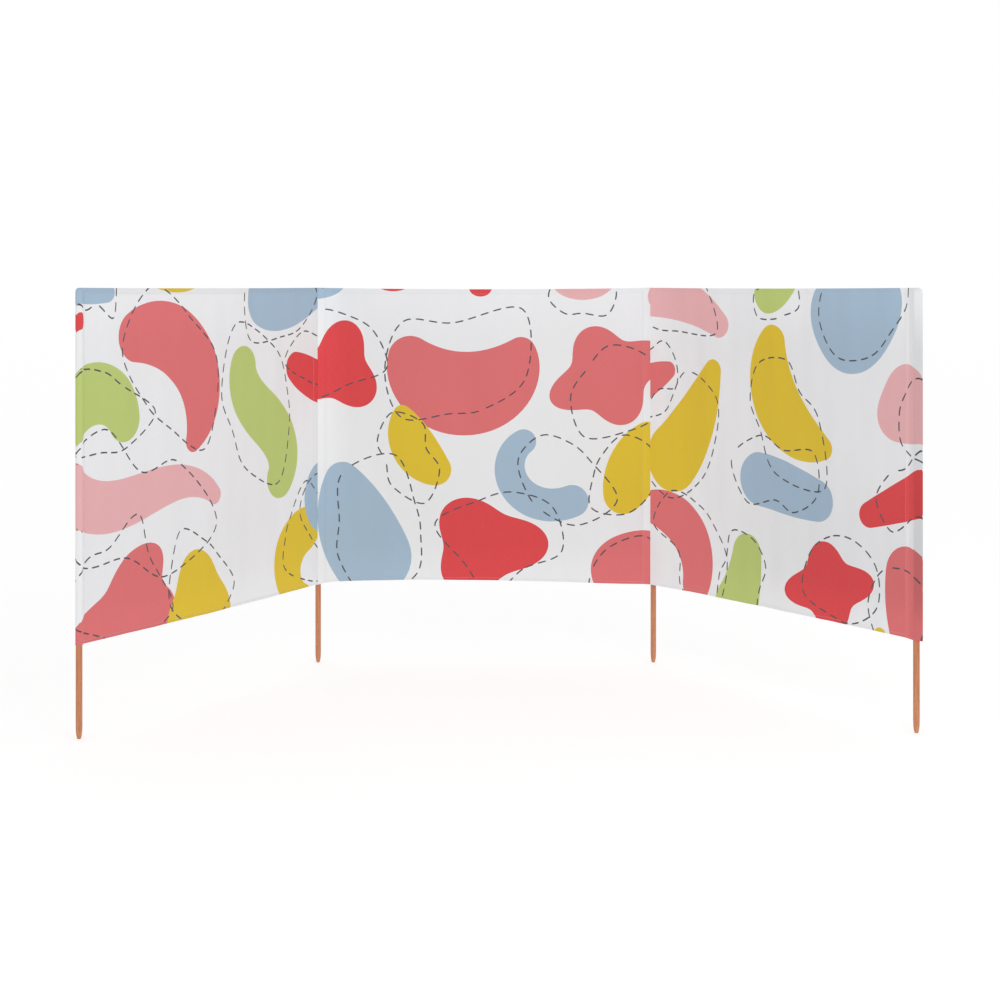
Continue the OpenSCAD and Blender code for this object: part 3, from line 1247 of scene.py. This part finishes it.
outerSeam = {name: reachAt(lines[name], bays[name]["long"] - sewn[seam])
             for name, (first, seam, short) in hemEnds.items()}
leftStitches = sewRows("leftStitches", [
    *hemRows("left", 0.048, outerSeam["left"] - seams["short"]),
    upRow(lines["left"], sewn["leftInner"]),
    upRow(lines["left"], outerSeam["left"] - seams["beside"]),
    upRow(leftFlapLine, flap["past"]),
])
middleStitches = sewRows("middleStitches", [
    *hemRows("middle", 0.077, outerSeam["middle"] - seams["short"]),
    upRow(lines["middle"], outerSeam["middle"] - seams["beside"]),
    upRow(rightFlapLine, flap["past"]),
])
rightStitches = sewRows("rightStitches", [
    *hemRows("right", 0.055, outerSeam["right"] - seams["short"]),
    upRow(lines["right"], outerSeam["right"] - seams["beside"]),
])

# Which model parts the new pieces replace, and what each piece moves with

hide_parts("left_panel", "left_outer_sleeve", "left_outer_sleeve_top")
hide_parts("middle_panel")
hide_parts("right_panel", "right_outer_sleeve", "right_outer_sleeve_top")
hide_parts("left_inner_sleeve", "left_inner_sleeve_top")
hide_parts("right_inner_sleeve", "right_inner_sleeve_top")
for name in bays:
    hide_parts(name + "_top_hem")
    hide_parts(name + "_bottom_hem")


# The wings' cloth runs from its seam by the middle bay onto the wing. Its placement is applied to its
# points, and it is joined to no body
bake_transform(leftCloth)
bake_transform(rightCloth)
for piece in (leftStitches, leftInnerFlap, hems["left", "top"], hems["left", "foot"]):
    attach(piece, "left_wing")
for piece in (rightStitches, hems["right", "top"], hems["right", "foot"]):
    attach(piece, "right_wing")
for piece in (middleCloth, leftInnerSleeve, rightInnerSleeve, rightInnerFlap, middleStitches,
              hems["middle", "top"], hems["middle", "foot"]):
    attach(piece, "middle_bay")

print("pieces joined to their bays")

# Floor, light and camera

studio = {
    "middle": (0.67, -0.5),
    "floorRadius": 45.0,
    "floorSides": 48,
    "floorGrey": 0.55,
    "floorGlow": 0.545,
    "surround": 0.772,
    "keyPower": 40.0,
    "keyPlace": (3.0, -5.0, 2.6),
    "keyAim": (0.7, -0.4, 0.8),
    "keySize": 3.0,
    "lens": 61.5,
    "shift": -0.2122,
    "cameraPlace": (0.727, -6.83, 1.497),
}


def makeFloor():
    rings = [studio["floorRadius"] * (i / 6) ** 2 for i in range(1, 7)]
    sides = studio["floorSides"]
    x, y = studio["middle"]
    points, faces = [(x, y, 0.0)], []
    for ring in rings:
        for j in range(sides):
            a = 2 * math.pi * j / sides
            points.append((x + ring * math.cos(a), y + ring * math.sin(a), 0.0))
    for j in range(sides):
        k = (j + 1) % sides
        faces.append((0, 1 + j, 1 + k))
        for i in range(len(rings) - 1):
            a, b = 1 + i * sides, 1 + (i + 1) * sides
            faces.append((a + j, b + j, b + k, a + k))
    mesh = bpy.data.meshes.new("studioFloor")
    mesh.from_pydata(points, [], faces)
    floor = bpy.data.objects.new("studioFloor", mesh)
    scene.collection.objects.link(floor)
    material, tree, shader = newMaterial("studioFloor", 0.95)
    shader.inputs["Base Color"].default_value = (studio["floorGrey"],) * 3 + (1,)
    shader.inputs["Emission Color"].default_value = (1, 1, 1, 1)
    shader.inputs["Emission Strength"].default_value = studio["floorGlow"]
    mesh.materials.append(material)


def makeLight():
    world = bpy.data.worlds.new("softSurround")
    world.use_nodes = True
    tree = world.node_tree
    lit = tree.nodes["Background"]
    lit.inputs["Color"].default_value = (1.0, 1.0, 1.0, 1)
    lit.inputs["Strength"].default_value = studio["surround"]
    seen = addNode(tree, "ShaderNodeBackground", Color=(1, 1, 1, 1), Strength=1.0)
    path = tree.nodes.new("ShaderNodeLightPath")
    mix = tree.nodes.new("ShaderNodeMixShader")
    for i, output in enumerate((path.outputs["Is Camera Ray"], lit.outputs[0], seen.outputs[0])):
        tree.links.new(output, mix.inputs[i])
    tree.links.new(mix.outputs[0], tree.nodes["World Output"].inputs["Surface"])
    scene.world = world
    key = bpy.data.lights.new("key", "AREA")
    key.shape = "DISK"
    key.size = studio["keySize"]
    key.energy = studio["keyPower"]
    lamp = bpy.data.objects.new("key", key)
    lamp.location = studio["keyPlace"]
    lamp.rotation_euler = (Vector(studio["keyAim"]) - lamp.location).to_track_quat("-Z", "Y").to_euler()
    scene.collection.objects.link(lamp)


def makeCamera():
    lens = bpy.data.cameras.new("camera")
    lens.lens = studio["lens"]
    lens.sensor_width = 36.0
    lens.shift_y = studio["shift"]
    lens.clip_end = 200.0
    camera = bpy.data.objects.new("camera", lens)
    camera.location = studio["cameraPlace"]
    camera.rotation_euler = (math.radians(90), 0, 0)
    scene.collection.objects.link(camera)
    scene.camera = camera


makeFloor()
makeLight()
makeCamera()
scene.view_settings.view_transform = "Standard"
print("studio ready")
